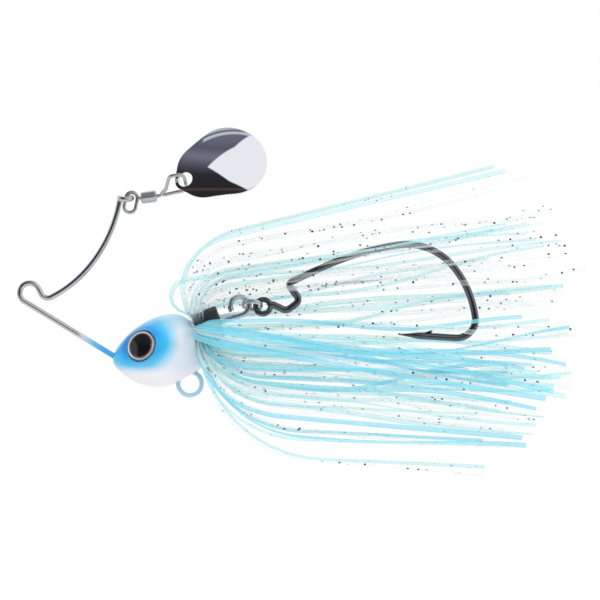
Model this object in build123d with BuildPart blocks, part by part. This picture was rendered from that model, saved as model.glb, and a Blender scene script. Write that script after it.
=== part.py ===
from build123d import *
import math
import os

# Spinnerbait with a swinging offset hook, in millimetres.
# The main wire lies in the XZ plane. The origin is the middle of the R-bend where the line is tied,
# +X runs back towards the tips of the skirt, +Z is up (the blade's side), and -Y is the near side.

# ---- driving dimensions -------------------------------------------------------------------------

WIRE_DIAMETER = 0.9
LINE_TIE_RADIUS = 1.6
LOWER_ARM_ANGLE = -31.0
TIE_EXIT_ANGLE = 118.0
DIP_RADIUS = 1.2
DIP_CENTRE = (2.96, 0.4)
ARM_START_ANGLE = 27.0
ARM_MIDDLE = (9.87, 4.55)
ARM_END = (14.5, 14.8)
NOSE = (13.7, -10.24)

ARM_EYE_RADIUS = 0.95
ARM_EYE_TILT = 15.0
ARM_EYE_BEND = 0.5
ARM_EYE_TURN = 285.0

HEAD_NOSE = (13.45, -11.0)
HEAD_AXIS_ANGLE = 10.0
# distance behind the nose, height of the middle, half height, half width
HEAD_STATIONS = [
    (0.15, 0.05, 0.7, 0.6),
    (1.1, 0.0, 2.05, 1.7),
    (3.2, -0.1, 3.95, 3.0),
    (6.0, -0.05, 5.3, 4.0),
    (9.0, 0.3, 5.65, 4.3),
    (11.6, 0.6, 5.05, 3.95),
    (13.2, 0.25, 4.2, 3.25),
    (13.9, 0.1, 3.4, 2.6),
]

NECK_ANGLE = 18.0
NECK_POINT = (26.9, -5.93)
NECK_RADIUS = 1.7
NECK_LENGTH = 3.9
COLLAR_RADIUS = 2.75
COLLAR_WAIST_RADIUS = 2.5
COLLAR_WAIST_LENGTH = 1.9
COLLAR_LENGTH = 4.1

EYE_DIAMETER = 5.0
EYE_CENTRE = (18.4, 3.25, -8.5)
EYE_FACING = (-0.43, 0.846, 0.315)
FOIL_THICKNESS = 0.15
DOME_HEIGHT = 1.0
SOCKET_RIM = 0.35
SOCKET_HEIGHT = 0.15

BELLY_EYE_CENTRE = (25.85, -14.6)
BELLY_EYE_RADIUS = 1.85
BELLY_EYE_WIRE = 0.8
BELLY_EYE_BORE = 1.55

SWIVEL_WIRE = 0.58
SWIVEL_EYE_RADIUS = 0.93
SWIVEL_EYE_LENGTH = 1.42
SWIVEL_EYE_LEAN = -102.0
BARREL_CENTRE = (19.29, 15.42)
BARREL_ANGLE = 7.7
BARREL_LENGTH = 2.5
BARREL_RADIUS = 0.95
BARREL_CAVITY_RADIUS = 0.68
BARREL_WALL = 0.3
BARREL_HOLE_CLEARANCE = 0.06
STEM_HEAD_RADIUS = 0.52
STEM_HEAD_LENGTH = 0.35

REAR_EYE_TILT = 40.0
BLADE_HOLE_RADIUS = 1.12
BLADE_THICKNESS = 0.5
BLADE_CURVE_RADIUS = 15.0
BLADE_ANGLE = 26.0
BLADE_LEAN = 15.0
BLADE_FLAP = 9.0
BLADE_HANG = (4.97, 2.4, 0)

HANGER_REACH = 3.92
HANGER_RADIUS = 1.5
HANGER_TURN = 286.0

SPLIT_RING_CENTRE = (35.9, -0.09, -2.01)
SPLIT_RING_RADIUS = 1.55
SPLIT_RING_TILT = 64.0
SPLIT_RING_LEAN = -4.5

HOOK_WIRE = 1.16
HOOK_EYE_WIRE = 0.9
HOOK_EYE_CENTRE = (37.64, -2.21)
HOOK_EYE_RADIUS = 1.2
HOOK_EYE_TILT = -18.0
SHANK_INSET = -0.1
HOOK_SHANK_ANGLE = 13.0

STRAND_THICKNESS = 0.3
STRAND_WIDTH = 0.85
STRAND_ROOT_RADIUS = 2.3
# The angle of each strand round the collar, from 0 at the top to 180 at the bottom. The near side
# is left open in the middle, where the hook shows.
NEAR_AZIMUTHS = [33, 57, 134, 160]
FAR_AZIMUTHS = [31, 57, 80, 106, 134, 162]
LAYER_STATIONS = [0.1, 0.46, 0.83, 1.22, 1.62]
# For each layer: leaving angle from the neck axis, bend radius at the top, side and bottom,
# then the height, the least and the added sideways distance of the tips from the middle of the fan.
LAYER_SHAPES = [
    (104, 10.6, 8.0, 21.0, 27.3, 2.5, 10.0),
    (99, 9.2, 6.9, 16.6, 23.8, 3.1, 8.4),
    (93, 7.7, 5.8, 12.8, 20.0, 3.7, 6.9),
    (86, 6.1, 4.8, 9.6, 16.3, 4.3, 5.5),
    (78, 4.8, 3.8, 6.8, 12.9, 4.9, 4.2),
]
FAN_MIDDLE = -3.1
FAN_LENGTH = 90.0
FAN_TRIM_HEIGHT = 0.024
FAN_TRIM_SIDE = 0.02


# ---- small helpers ------------------------------------------------------------------------------


def flat(point, y=0.0):
    """A point of the wire plane, given as (x, z)."""
    return Vector(point[0], y, point[1])


def heading(angle):
    """The direction in the wire plane that climbs by angle degrees from +X."""
    return Vector(math.cos(math.radians(angle)), 0, math.sin(math.radians(angle)))


def wire_section(path):
    """The plane across the start of a path."""
    return Plane(origin=path @ 0, z_dir=path % 0)


def bend_points(start, along, towards, radius, degrees):
    """The middle and the end of a bend, and the direction that it leaves in."""
    along = along.normalized()
    towards = (towards - along * along.dot(towards)).normalized()
    centre = start + towards * radius
    points = []
    for angle in (degrees / 2, degrees):
        turn = math.radians(angle)
        points.append(centre - towards * radius * math.cos(turn) + along * radius * math.sin(turn))
    turn = math.radians(degrees)
    return points[0], points[1], along * math.cos(turn) + towards * math.sin(turn)


def save(piece, name):
    """Label a finished piece and write it as its own file."""
    piece.part.label = name
    export_step(piece.part, f"parts/{name}.step")
    print(name, len(piece.part.solids()), round(piece.part.volume, 3), piece.part.is_valid)


os.makedirs("parts", exist_ok=True)

neck_axis = heading(NECK_ANGLE)
neck_up = heading(NECK_ANGLE + 90)
neck_origin = flat(NECK_POINT)
neck_plane = Plane(origin=neck_origin, x_dir=neck_up, z_dir=neck_axis)

# ---- main wire ----------------------------------------------------------------------------------

# One wire: the arm-end eye, the upper arm, the R-bend, the lower arm, the run through the head
# and the closed hanger loop behind the skirt.
dip_centre = flat(DIP_CENTRE)
dip_start = dip_centre + DIP_RADIUS * heading(ARM_START_ANGLE - 90)
dip_middle = dip_centre + DIP_RADIUS * heading((ARM_START_ANGLE + TIE_EXIT_ANGLE - 180) / 2 - 90)
dip_end = dip_centre + DIP_RADIUS * heading(TIE_EXIT_ANGLE - 270)
tie_start = LINE_TIE_RADIUS * heading(TIE_EXIT_ANGLE - 90)
tie_middle = LINE_TIE_RADIUS * heading((TIE_EXIT_ANGLE + LOWER_ARM_ANGLE + 360) / 2 - 90)
tie_end = LINE_TIE_RADIUS * heading(LOWER_ARM_ANGLE - 90)
nose_bend = flat(NOSE) + 1.8 * heading(LOWER_ARM_ANGLE)
neck_bend = neck_origin - neck_axis * 0.5
hanger_start = neck_origin + neck_axis * (NECK_LENGTH + HANGER_REACH)

with BuildPart() as main_wire:
    with BuildLine() as wire_path:
        lower_arc = TangentArc(dip_start, flat(ARM_MIDDLE), tangent=heading(ARM_START_ANGLE))
        upper_arc = TangentArc(flat(ARM_MIDDLE), flat(ARM_END), tangent=lower_arc % 1)
        across = Vector(0, -math.cos(math.radians(ARM_EYE_TILT)), -math.sin(math.radians(ARM_EYE_TILT)))
        bend_turn = (upper_arc % 1).get_angle(across)
        middle, end, leaving = bend_points(upper_arc @ 1, upper_arc % 1, across, ARM_EYE_BEND, bend_turn)
        ThreePointArc(upper_arc @ 1, middle, end)
        eye_start = end
        arm_eye_centre = eye_start + Vector(ARM_EYE_RADIUS, 0, 0)
        middle, end, leaving = bend_points(end, leaving, Vector(1, 0, 0), ARM_EYE_RADIUS, ARM_EYE_TURN)
        ThreePointArc(eye_start, middle, end)
        ThreePointArc(dip_start, dip_middle, dip_end)
        Line(dip_end, tie_start)
        ThreePointArc(tie_start, tie_middle, tie_end)
        FilletPolyline(tie_end, nose_bend, neck_bend, hanger_start, radius=[2.5, 6.0])
        middle, end, leaving = bend_points(hanger_start, neck_axis, neck_up, HANGER_RADIUS, HANGER_TURN)
        ThreePointArc(hanger_start, middle, end)
    with BuildSketch(wire_section(wire_path.wires()[0])):
        Circle(WIRE_DIAMETER / 2)
    sweep(path=wire_path.wires()[0])

arm_pivot = arm_eye_centre + Vector(ARM_EYE_RADIUS, 0, 0)
hanger_centre = hanger_start + neck_up * HANGER_RADIUS
print("arm eye", arm_eye_centre, "pivot", arm_pivot, "hanger", hanger_centre)
save(main_wire, "main_wire")

# ---- belly eye ----------------------------------------------------------------------------------

# A closed ring of wire with a shank that the lead is cast round. The inside of the ring is coined
# to a narrow cylindrical land.
belly_centre = flat(BELLY_EYE_CENTRE)
shank_direction = heading(100)

with BuildPart() as belly_eye:
    with BuildSketch(Plane(origin=belly_centre, x_dir=(1, 0, 0), z_dir=(0, 0, 1))):
        with Locations((BELLY_EYE_RADIUS, 0)):
            Circle(BELLY_EYE_WIRE / 2)
    revolve(axis=Axis(belly_centre, (0, 1, 0)))
    with BuildSketch(Plane(origin=belly_centre + shank_direction * BELLY_EYE_RADIUS, z_dir=shank_direction)):
        Circle(BELLY_EYE_WIRE / 2)
    extrude(amount=2.6)
    with BuildSketch(Plane(origin=belly_centre, z_dir=(0, 1, 0))):
        Circle(BELLY_EYE_BORE)
    extrude(amount=2, both=True, mode=Mode.SUBTRACT)

save(belly_eye, "belly_eye")

# ---- head ---------------------------------------------------------------------------------------

head_axis = heading(HEAD_AXIS_ANGLE)
head_up = heading(HEAD_AXIS_ANGLE + 90)


def eye_plane(side):
    """The floor of one eye socket, facing outwards. side is -1 for the near side, +1 for the far."""
    origin = Vector(EYE_CENTRE[0], side * EYE_CENTRE[1], EYE_CENTRE[2])
    facing = Vector(EYE_FACING[0], side * EYE_FACING[1], EYE_FACING[2])
    return Plane(origin=origin, x_dir=heading(55), z_dir=facing)


with BuildPart() as head:
    for distance, rise, half_height, half_width in HEAD_STATIONS:
        middle = flat(HEAD_NOSE) + head_axis * distance + head_up * rise
        with BuildSketch(Plane(origin=middle, x_dir=head_up, z_dir=head_axis)):
            Ellipse(half_height, half_width)
    loft()
    with BuildSketch(neck_plane.offset(-2.5)):
        Circle(NECK_RADIUS)
    extrude(amount=NECK_LENGTH + 2.5)
    for side in (-1, 1):
        with BuildSketch(eye_plane(side).offset(-2.0)):
            Circle(EYE_DIAMETER / 2 + SOCKET_RIM)
        extrude(amount=2.0 + SOCKET_HEIGHT)
        with BuildSketch(eye_plane(side)):
            Circle(EYE_DIAMETER / 2 + 0.05)
        extrude(amount=3.0, mode=Mode.SUBTRACT)
    with BuildSketch(Plane(origin=belly_centre, z_dir=(0, 1, 0))):
        Circle(BELLY_EYE_RADIUS + 0.2)
    extrude(amount=6, both=True, mode=Mode.SUBTRACT)
    add(main_wire.part, mode=Mode.SUBTRACT)
    add(belly_eye.part, mode=Mode.SUBTRACT)

save(head, "head")

# ---- eyes ---------------------------------------------------------------------------------------

dome_radius = EYE_DIAMETER / 2
dome_edge = 0.3
dome_rise = DOME_HEIGHT - dome_edge
dome_sphere = (dome_radius**2 + dome_rise**2) / (2 * dome_rise)

for side, side_name in ((-1, "near"), (1, "far")):
    floor = eye_plane(side)
    with BuildPart() as foil:
        with BuildSketch(floor):
            Circle(dome_radius)
        extrude(amount=FOIL_THICKNESS)
    save(foil, f"{side_name}_eye_foil")
    dome_base = floor.offset(FOIL_THICKNESS)
    with BuildPart() as dome:
        with BuildSketch(Plane(origin=dome_base.origin, x_dir=dome_base.x_dir, z_dir=-dome_base.y_dir)):
            with BuildLine():
                Line((0, 0), (dome_radius, 0))
                Line((dome_radius, 0), (dome_radius, dome_edge))
                crown = JernArc(
                    start=(0, DOME_HEIGHT),
                    tangent=(1, 0),
                    radius=dome_sphere,
                    arc_size=-math.degrees(math.asin(dome_radius / dome_sphere)),
                )
                Line((0, 0), (0, DOME_HEIGHT))
            make_face()
        revolve(axis=Axis(dome_base.origin, dome_base.z_dir))
    save(dome, f"{side_name}_eye_dome")

# ---- skirt collar -------------------------------------------------------------------------------

with BuildPart() as skirt_collar:
    with BuildSketch(neck_plane):
        Circle(COLLAR_WAIST_RADIUS)
        Circle(NECK_RADIUS, mode=Mode.SUBTRACT)
    extrude(amount=COLLAR_WAIST_LENGTH)
    with BuildSketch(neck_plane.offset(COLLAR_WAIST_LENGTH)):
        Circle(COLLAR_RADIUS)
        Circle(NECK_RADIUS, mode=Mode.SUBTRACT)
    extrude(amount=COLLAR_LENGTH - COLLAR_WAIST_LENGTH)
    add(head.part, mode=Mode.SUBTRACT)

save(skirt_collar, "skirt_collar")

# ---- swivel -------------------------------------------------------------------------------------

barrel_axis = heading(BARREL_ANGLE)
barrel_up = heading(BARREL_ANGLE + 90)
barrel_centre = Vector(BARREL_CENTRE[0], arm_eye_centre.Y, BARREL_CENTRE[1])
barrel_side = Plane(origin=barrel_centre, x_dir=barrel_axis, z_dir=(0, -1, 0))
stem_radius = SWIVEL_WIRE / 2
hole_radius = stem_radius + BARREL_HOLE_CLEARANCE
half_barrel = BARREL_LENGTH / 2
half_cavity = half_barrel - BARREL_WALL

with BuildPart() as swivel_barrel:
    with BuildSketch(barrel_side):
        with BuildLine():
            Polyline(
                (-half_barrel, hole_radius),
                (-half_barrel, BARREL_RADIUS - 0.2),
                (-half_barrel + 0.2, BARREL_RADIUS),
                (half_barrel - 0.2, BARREL_RADIUS),
                (half_barrel, BARREL_RADIUS - 0.2),
                (half_barrel, hole_radius),
                (half_cavity, hole_radius),
                (half_cavity, BARREL_CAVITY_RADIUS),
                (-half_cavity, BARREL_CAVITY_RADIUS),
                (-half_cavity, hole_radius),
                close=True,
            )
        make_face()
    revolve(axis=Axis(barrel_centre, barrel_axis))

save(swivel_barrel, "swivel_barrel")


stem_root = half_cavity - 0.05
lobe = heading(SWIVEL_EYE_LEAN)
lobe_side = heading(SWIVEL_EYE_LEAN + 90)
lobe_end = arm_pivot + lobe * SWIVEL_EYE_LENGTH
front_reach = (barrel_centre - arm_pivot).dot(barrel_axis) - SWIVEL_EYE_RADIUS

with BuildPart() as swivel_front_eye:
    with BuildLine() as front_loop:
        Line(arm_pivot + lobe_side * SWIVEL_EYE_RADIUS, lobe_end + lobe_side * SWIVEL_EYE_RADIUS)
        ThreePointArc(
            lobe_end + lobe_side * SWIVEL_EYE_RADIUS,
            lobe_end + lobe * SWIVEL_EYE_RADIUS,
            lobe_end - lobe_side * SWIVEL_EYE_RADIUS,
        )
        Line(lobe_end - lobe_side * SWIVEL_EYE_RADIUS, arm_pivot - lobe_side * SWIVEL_EYE_RADIUS)
        ThreePointArc(
            arm_pivot - lobe_side * SWIVEL_EYE_RADIUS,
            arm_pivot - lobe * SWIVEL_EYE_RADIUS,
            arm_pivot + lobe_side * SWIVEL_EYE_RADIUS,
        )
    with BuildSketch(wire_section(front_loop.wires()[0])):
        Circle(stem_radius)
    sweep(path=front_loop.wires()[0])
    with BuildSketch(Plane(origin=barrel_centre - barrel_axis * stem_root, z_dir=barrel_axis)):
        Circle(STEM_HEAD_RADIUS)
    extrude(amount=STEM_HEAD_LENGTH)
    with BuildSketch(Plane(origin=barrel_centre - barrel_axis * stem_root, z_dir=-barrel_axis)):
        Circle(stem_radius)
    extrude(amount=front_reach - stem_root)

save(swivel_front_eye, "swivel_front_eye")

# The rear eye is a wider loop, leaning out towards the near side, that passes through the blade.
lean = math.radians(REAR_EYE_TILT)
loop_up = barrel_up * math.cos(lean) + Vector(0, -math.sin(lean), 0)
loop_plane = Plane(
    origin=barrel_centre + barrel_axis * half_barrel,
    x_dir=barrel_axis,
    z_dir=barrel_axis.cross(loop_up),
)
REAR_LOOP = [(0.35, -0.05), (1.7, 1.15), (2.6, 3.55), (4.9, 3.55), (5.05, 0.45)]
REAR_LOOP_RADII = [0.3, 0.8, 0.9, 0.9, 0.7]

with BuildPart() as swivel_rear_eye:
    with BuildLine(loop_plane) as rear_loop:
        FilletPolyline(*REAR_LOOP, radius=REAR_LOOP_RADII, close=True)
    with BuildSketch(wire_section(rear_loop.wires()[0])):
        Circle(stem_radius)
    sweep(path=rear_loop.wires()[0])
    with BuildSketch(Plane(origin=barrel_centre + barrel_axis * stem_root, z_dir=-barrel_axis)):
        Circle(STEM_HEAD_RADIUS)
    extrude(amount=STEM_HEAD_LENGTH)
    with BuildSketch(Plane(origin=barrel_centre + barrel_axis * stem_root, z_dir=barrel_axis)):
        Circle(stem_radius)
    extrude(amount=half_barrel + 0.7 - stem_root)

save(swivel_rear_eye, "swivel_rear_eye")

# ---- blade --------------------------------------------------------------------------------------

blade_along = heading(BLADE_ANGLE)
blade_lean = math.radians(BLADE_LEAN)
blade_facing = Vector(0, -math.cos(blade_lean), 0) + heading(BLADE_ANGLE + 90) * math.sin(blade_lean)
blade_hinge = loop_plane.from_local_coords(BLADE_HANG)
flat_blade = Plane(origin=blade_hinge, x_dir=blade_along, z_dir=blade_facing)
blade_plane = Plane(flat_blade.location * Rotation(0, BLADE_FLAP, 0))
blade_middle = 6.0
sheet_radius = BLADE_CURVE_RADIUS + BLADE_THICKNESS / 2
cup_centre = (
    blade_hinge
    + blade_plane.x_dir * blade_middle
    - blade_plane.z_dir * math.sqrt(sheet_radius**2 - blade_middle**2)
)
# circles along the middle line whose hull is the outline: distance from the hole, radius
BLADE_OUTLINE = [(0, 1.65), (3.6, 4.65), (7.95, 5.95)]

with BuildPart() as blade:
    with BuildSketch(blade_plane.offset(-4)):
        for along, radius in BLADE_OUTLINE:
            with Locations((along, 0)):
                Circle(radius)
        make_hull()
    extrude(amount=8)
    with Locations(cup_centre):
        Sphere(BLADE_CURVE_RADIUS + BLADE_THICKNESS, mode=Mode.INTERSECT)
        Sphere(BLADE_CURVE_RADIUS, mode=Mode.SUBTRACT)
    with BuildSketch(blade_plane.offset(-3)):
        Circle(BLADE_HOLE_RADIUS)
    extrude(amount=6, mode=Mode.SUBTRACT)

save(blade, "blade")

# ---- split ring ---------------------------------------------------------------------------------

ring_centre = Vector(*SPLIT_RING_CENTRE)
ring_along = heading(SPLIT_RING_LEAN)
ring_tilt = math.radians(SPLIT_RING_TILT)
ring_axis = Vector(0, math.cos(ring_tilt), 0) + heading(SPLIT_RING_LEAN + 90) * math.sin(ring_tilt)

with BuildPart() as split_ring:
    with BuildSketch(Plane(origin=ring_centre, x_dir=ring_along, z_dir=ring_axis.cross(ring_along))):
        with Locations((SPLIT_RING_RADIUS, -0.17), (SPLIT_RING_RADIUS, 0.17)):
            Circle(0.2)
    revolve(axis=Axis(ring_centre, ring_axis))

save(split_ring, "split_ring")

# ---- hook ---------------------------------------------------------------------------------------

hook_eye_centre = flat(HOOK_EYE_CENTRE)
shank_start_direction = heading(HOOK_SHANK_ANGLE)
eye_tilt = math.radians(HOOK_EYE_TILT)
hook_eye_axis = Vector(0, math.cos(eye_tilt), 0) + heading(HOOK_SHANK_ANGLE + 90) * math.sin(eye_tilt)
shank_start = hook_eye_centre + shank_start_direction * (HOOK_EYE_RADIUS + SHANK_INSET)
SHOULDER = [(39.2, -1.85), (41.4, -2.9), (43.7, -1.2), (41.55, 1.5), (46.9, 4.0)]
SHOULDER_RADII = [0.85, 1.1, 1.0, 0.7]
BEND_THROUGH = [(59.2, 7.75), (68.3, 4.3), (71.75, -3.2)]
BEND_CORNER_REACH = 4.35
BEND_CORNER_RADIUS = 3.0
TAPER_START = (62.9, -6.9)
POINT_LENGTH = 3.45

with BuildPart() as hook:
    with BuildLine() as hook_path:
        stretch = FilletPolyline(shank_start, *[flat(p) for p in SHOULDER], radius=SHOULDER_RADII)
        for target in BEND_THROUGH:
            stretch = TangentArc(stretch @ 1, flat(target), tangent=stretch % 1)
        bend_corner = stretch @ 1 + (stretch % 1) * BEND_CORNER_REACH
        FilletPolyline(stretch @ 1, bend_corner, flat(TAPER_START), radius=[BEND_CORNER_RADIUS])
    hook_wire = hook_path.wires()[0]
    with BuildSketch(wire_section(hook_wire)):
        Circle(HOOK_WIRE / 2)
    sweep(path=hook_wire)
    point_direction = hook_wire % 1
    with BuildSketch(Plane(origin=hook_wire @ 1, z_dir=point_direction)):
        Circle(HOOK_WIRE / 2)
    with BuildSketch(Plane(origin=hook_wire @ 1 + point_direction * POINT_LENGTH, z_dir=point_direction)):
        Circle(0.04)
    loft()
    # the barb, a low wedge on the inner side just behind the point
    with BuildSketch(Plane(origin=hook_wire @ 1, x_dir=-point_direction, z_dir=(0, -1, 0))):
        with BuildLine():
            Polyline((0.15, 0.35), (1.95, 1.05), (1.8, 0.3), close=True)
        make_face()
    extrude(amount=0.22, both=True)
    eye_across = hook_eye_axis.cross(shank_start_direction)
    with BuildSketch(Plane(origin=hook_eye_centre, x_dir=shank_start_direction, z_dir=eye_across)):
        with Locations((HOOK_EYE_RADIUS, 0)):
            Circle(HOOK_EYE_WIRE / 2)
    revolve(axis=Axis(hook_eye_centre, hook_eye_axis))

save(hook, "hook")

# ---- skirt --------------------------------------------------------------------------------------

# Each strand is a flat ribbon that leaves the waist of the collar, bends once in a wide arc and
# runs out straight to its tip. The layers are nested: an outer layer stays outside an inner one.


def between(top, side, bottom, height):
    """A value for a strand from its height round the collar: 1 at the top, -1 at the bottom."""
    end = top if height > 0 else bottom
    return side + (end - side) * height**2


def strand_tip(height, sideways, side, layer, wave):
    """Where a strand ends. The fan is trimmed shorter towards its top, bottom and sides."""
    tip_height, least_side, added_side = LAYER_SHAPES[layer][4:]
    z = tip_height * (height + 0.03 * wave)
    y = least_side + added_side * sideways + 0.4 * wave
    x = FAN_LENGTH - FAN_TRIM_HEIGHT * z**2 - FAN_TRIM_SIDE * y**2 + 1.3 * wave
    return Vector(x, side * y, FAN_MIDDLE + z)


def strand_route(azimuth, side, layer, wave):
    """The root, bend start, bend middle, bend end and tip of one ribbon, then the direction that it
    leaves in and the direction across it."""
    leaving_angle, top_radius, side_radius, bottom_radius = LAYER_SHAPES[layer][:4]
    height = math.cos(math.radians(azimuth))
    sideways = math.sin(math.radians(azimuth))
    radial = neck_up * height + Vector(0, side * sideways, 0)
    leave = neck_axis * math.cos(math.radians(leaving_angle)) + radial * math.sin(math.radians(leaving_angle))
    root = neck_origin + neck_axis * LAYER_STATIONS[layer] + radial * STRAND_ROOT_RADIUS
    bend_start = root + leave * (1.0 + 0.25 * layer)
    tip = strand_tip(height, sideways, side, layer, wave)
    # The tangent from the tip to the bend circle sets how far the ribbon turns.
    radius = between(top_radius, side_radius, bottom_radius, height) * (1 + 0.06 * wave)
    reach = tip - bend_start
    along = reach.dot(leave)
    towards = (reach - leave * along).normalized()
    beside = reach.dot(towards) - radius
    straight = math.sqrt(along**2 + beside**2 - radius**2)
    turn = math.degrees(math.atan2(beside, along) + math.atan2(radius, straight))
    bend_middle, bend_end, final = bend_points(bend_start, leave, towards, radius, turn)
    return root, bend_start, bend_middle, bend_end, tip, leave, leave.cross(towards).normalized()


SKIRT_TABS = [
    ("near_upper_outer_tab", -1, (0, 1), (0, 1)),
    ("near_upper_inner_tab", -1, (0, 1), (2, 3, 4)),
    ("near_lower_outer_tab", -1, (2, 3), (0, 1)),
    ("near_lower_inner_tab", -1, (2, 3), (2, 3, 4)),
    ("far_upper_outer_tab", 1, (0, 1, 2), (0, 1)),
    ("far_upper_inner_tab", 1, (0, 1, 2), (2, 3, 4)),
    ("far_lower_outer_tab", 1, (3, 4, 5), (0, 1)),
    ("far_lower_inner_tab", 1, (3, 4, 5), (2, 3, 4)),
]

for name, side, indexes, layers in SKIRT_TABS:
    azimuths = NEAR_AZIMUTHS if side < 0 else FAR_AZIMUTHS
    with BuildPart() as tab:
        for layer in layers:
            for index in indexes:
                wave = math.sin(2.4 * index + 1.7 * layer + side)
                route = strand_route(azimuths[index], side, layer, wave)
                root, bend_start, bend_middle, bend_end, tip, leave, across = route
                with BuildLine() as strand_path:
                    Line(root, bend_start)
                    ThreePointArc(bend_start, bend_middle, bend_end)
                    Line(bend_end, tip)
                with BuildSketch(Plane(origin=root, x_dir=across, z_dir=leave)):
                    Rectangle(STRAND_WIDTH, STRAND_THICKNESS)
                sweep(path=strand_path.wires()[0])
    save(tab, f"skirt_{name}")
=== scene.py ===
# %% [markdown]
# # A spinnerbait, dressed over its CAD frame
# The frame holds every solid of the lure in metres: the wire, the head, the swivel, the blade, the
# hook and the fringe of the skirt. This script keeps the wires, the swivel, the ring and the hook
# as they are and gives them a finish, and it models again the pieces that need a softer or finer
# surface.

# %% Load the frame
import math

import bmesh
import bpy
from mathutils import Matrix, Vector


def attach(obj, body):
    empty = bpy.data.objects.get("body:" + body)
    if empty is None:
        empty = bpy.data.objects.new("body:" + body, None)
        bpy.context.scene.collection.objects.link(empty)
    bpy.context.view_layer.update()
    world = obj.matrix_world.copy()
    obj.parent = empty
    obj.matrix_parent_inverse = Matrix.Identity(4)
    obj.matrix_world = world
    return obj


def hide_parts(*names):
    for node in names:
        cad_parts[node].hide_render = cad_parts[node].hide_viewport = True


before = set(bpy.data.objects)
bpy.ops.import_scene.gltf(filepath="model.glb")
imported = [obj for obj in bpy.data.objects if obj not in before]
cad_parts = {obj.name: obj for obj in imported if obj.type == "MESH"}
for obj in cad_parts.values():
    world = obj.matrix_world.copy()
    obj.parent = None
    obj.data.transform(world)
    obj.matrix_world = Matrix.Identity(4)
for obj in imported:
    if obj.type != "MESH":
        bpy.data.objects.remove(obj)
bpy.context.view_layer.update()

MM = 0.001
print("nodes in the frame:", len(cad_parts))

# %% [markdown]
# ## Small helpers
# Every piece is modelled in millimetres, which are easy to read, and brought to metres when its
# mesh is written. Colours are given as the hex values that a paint chart would give. Node trees
# are long to write by hand, so one helper adds a node with its settings and its links at once.

# %% Helpers for meshes


def write_piece(bm, name, body, materials, nodes=(), sharp_above=40):
    """Turn a bmesh in millimetres into a finished object that rides on a body."""
    bmesh.ops.scale(bm, vec=(MM, MM, MM), verts=bm.verts[:])
    bmesh.ops.recalc_face_normals(bm, faces=bm.faces[:])
    mesh = bpy.data.meshes.new(name)
    bm.to_mesh(mesh)
    bm.free()
    for material in materials:
        mesh.materials.append(material)
    mesh.shade_smooth()
    mesh.set_sharp_from_angle(angle=math.radians(sharp_above))
    piece = bpy.data.objects.new(name, mesh)
    bpy.context.scene.collection.objects.link(piece)
    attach(piece, body)
    if nodes:
        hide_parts(*nodes)
    print(name, len(mesh.polygons), "faces")
    return piece


def smoothstep(low, high, value):
    """0 below low, 1 above high, and an even rise between them."""
    t = min(max((value - low) / (high - low), 0.0), 1.0)
    return t * t * (3 - 2 * t)


def heading(angle):
    """The direction in the plane of the wire that climbs by angle degrees from +X."""
    return Vector((math.cos(math.radians(angle)), 0, math.sin(math.radians(angle))))


def place_verts(verts, across, upright, forward, origin):
    """Move points that are given along three directions to their place at an origin."""
    for vert in verts:
        x, y, z = vert.co
        vert.co = origin + across * x + upright * y + forward * z


# %% Helpers for materials


def colour(hex_value):
    """A linear colour from an sRGB hex value."""
    parts = [int(hex_value[i : i + 2], 16) / 255 for i in (0, 2, 4)]
    linear = [c / 12.92 if c <= 0.04045 else ((c + 0.055) / 1.055) ** 2.4 for c in parts]
    return (*linear, 1.0)


def node(tree, kind, settings=None, links=None):
    """Add a node. links maps an input to an output socket or to a value."""
    added = tree.nodes.new(kind)
    for name, value in (settings or {}).items():
        setattr(added, name, value)
    for name, source in (links or {}).items():
        if isinstance(source, bpy.types.NodeSocket):
            tree.links.new(source, added.inputs[name])
        else:
            added.inputs[name].default_value = source
    return added


def new_material(name):
    """A material with an empty tree, its tree and its output node."""
    material = bpy.data.materials.new(name)
    material.use_nodes = True
    tree = material.node_tree
    tree.nodes.clear()
    return material, tree, node(tree, "ShaderNodeOutputMaterial")


def surface(tree, output, **values):
    """A Principled shader on the output, with its sockets set or linked."""
    links = {name.replace("_", " "): value for name, value in values.items()}
    shader = node(tree, "ShaderNodeBsdfPrincipled", links=links)
    tree.links.new(shader.outputs["BSDF"], output.inputs["Surface"])
    return shader


def set_ramp(ramp_node, stops):
    """Give a colour ramp its stops as (place, hex colour)."""
    ramp = ramp_node.color_ramp
    while len(ramp.elements) > 1:
        ramp.elements.remove(ramp.elements[-1])
    ramp.elements[0].position = stops[0][0]
    ramp.elements[0].color = colour(stops[0][1])
    for place, hex_value in stops[1:]:
        ramp.elements.new(place).color = colour(hex_value)


# %% [markdown]
# ## Metals
# The swivel is nickel plated and barrel finished, which leaves it satin. The split ring is wound
# from plated spring wire and is brighter. The blade is polished and plated to a mirror. The hook is
# black nickel, a dark tinted mirror. A metal is one Principled shader: metallic 1, its own colour,
# and, on all but the mirror, a roughness that wanders a little, so that the highlight isn't
# perfectly even. A painted texture could do that too, but noise needs no map on the piece.

# %% Metals
PLATING_GRAIN_MM = 0.4


def metal(name, hex_value, roughness, variation=0.0):
    """A metal whose roughness wanders by a given amount over the grain of its plating."""
    material, tree, output = new_material(name)
    shader = surface(tree, output, Base_Color=colour(hex_value), Metallic=1.0, Roughness=roughness)
    if variation:
        place = node(tree, "ShaderNodeTexCoord")
        noise = node(
            tree,
            "ShaderNodeTexNoise",
            links={
                "Vector": place.outputs["Object"],
                "Scale": 1 / (PLATING_GRAIN_MM * MM),
                "Detail": 2.0,
            },
        )
        spread = node(
            tree,
            "ShaderNodeMapRange",
            links={
                "Value": noise.outputs["Fac"],
                "To Min": roughness - variation,
                "To Max": roughness + variation,
            },
        )
        tree.links.new(spread.outputs["Result"], shader.inputs["Roughness"])
    return material


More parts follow.
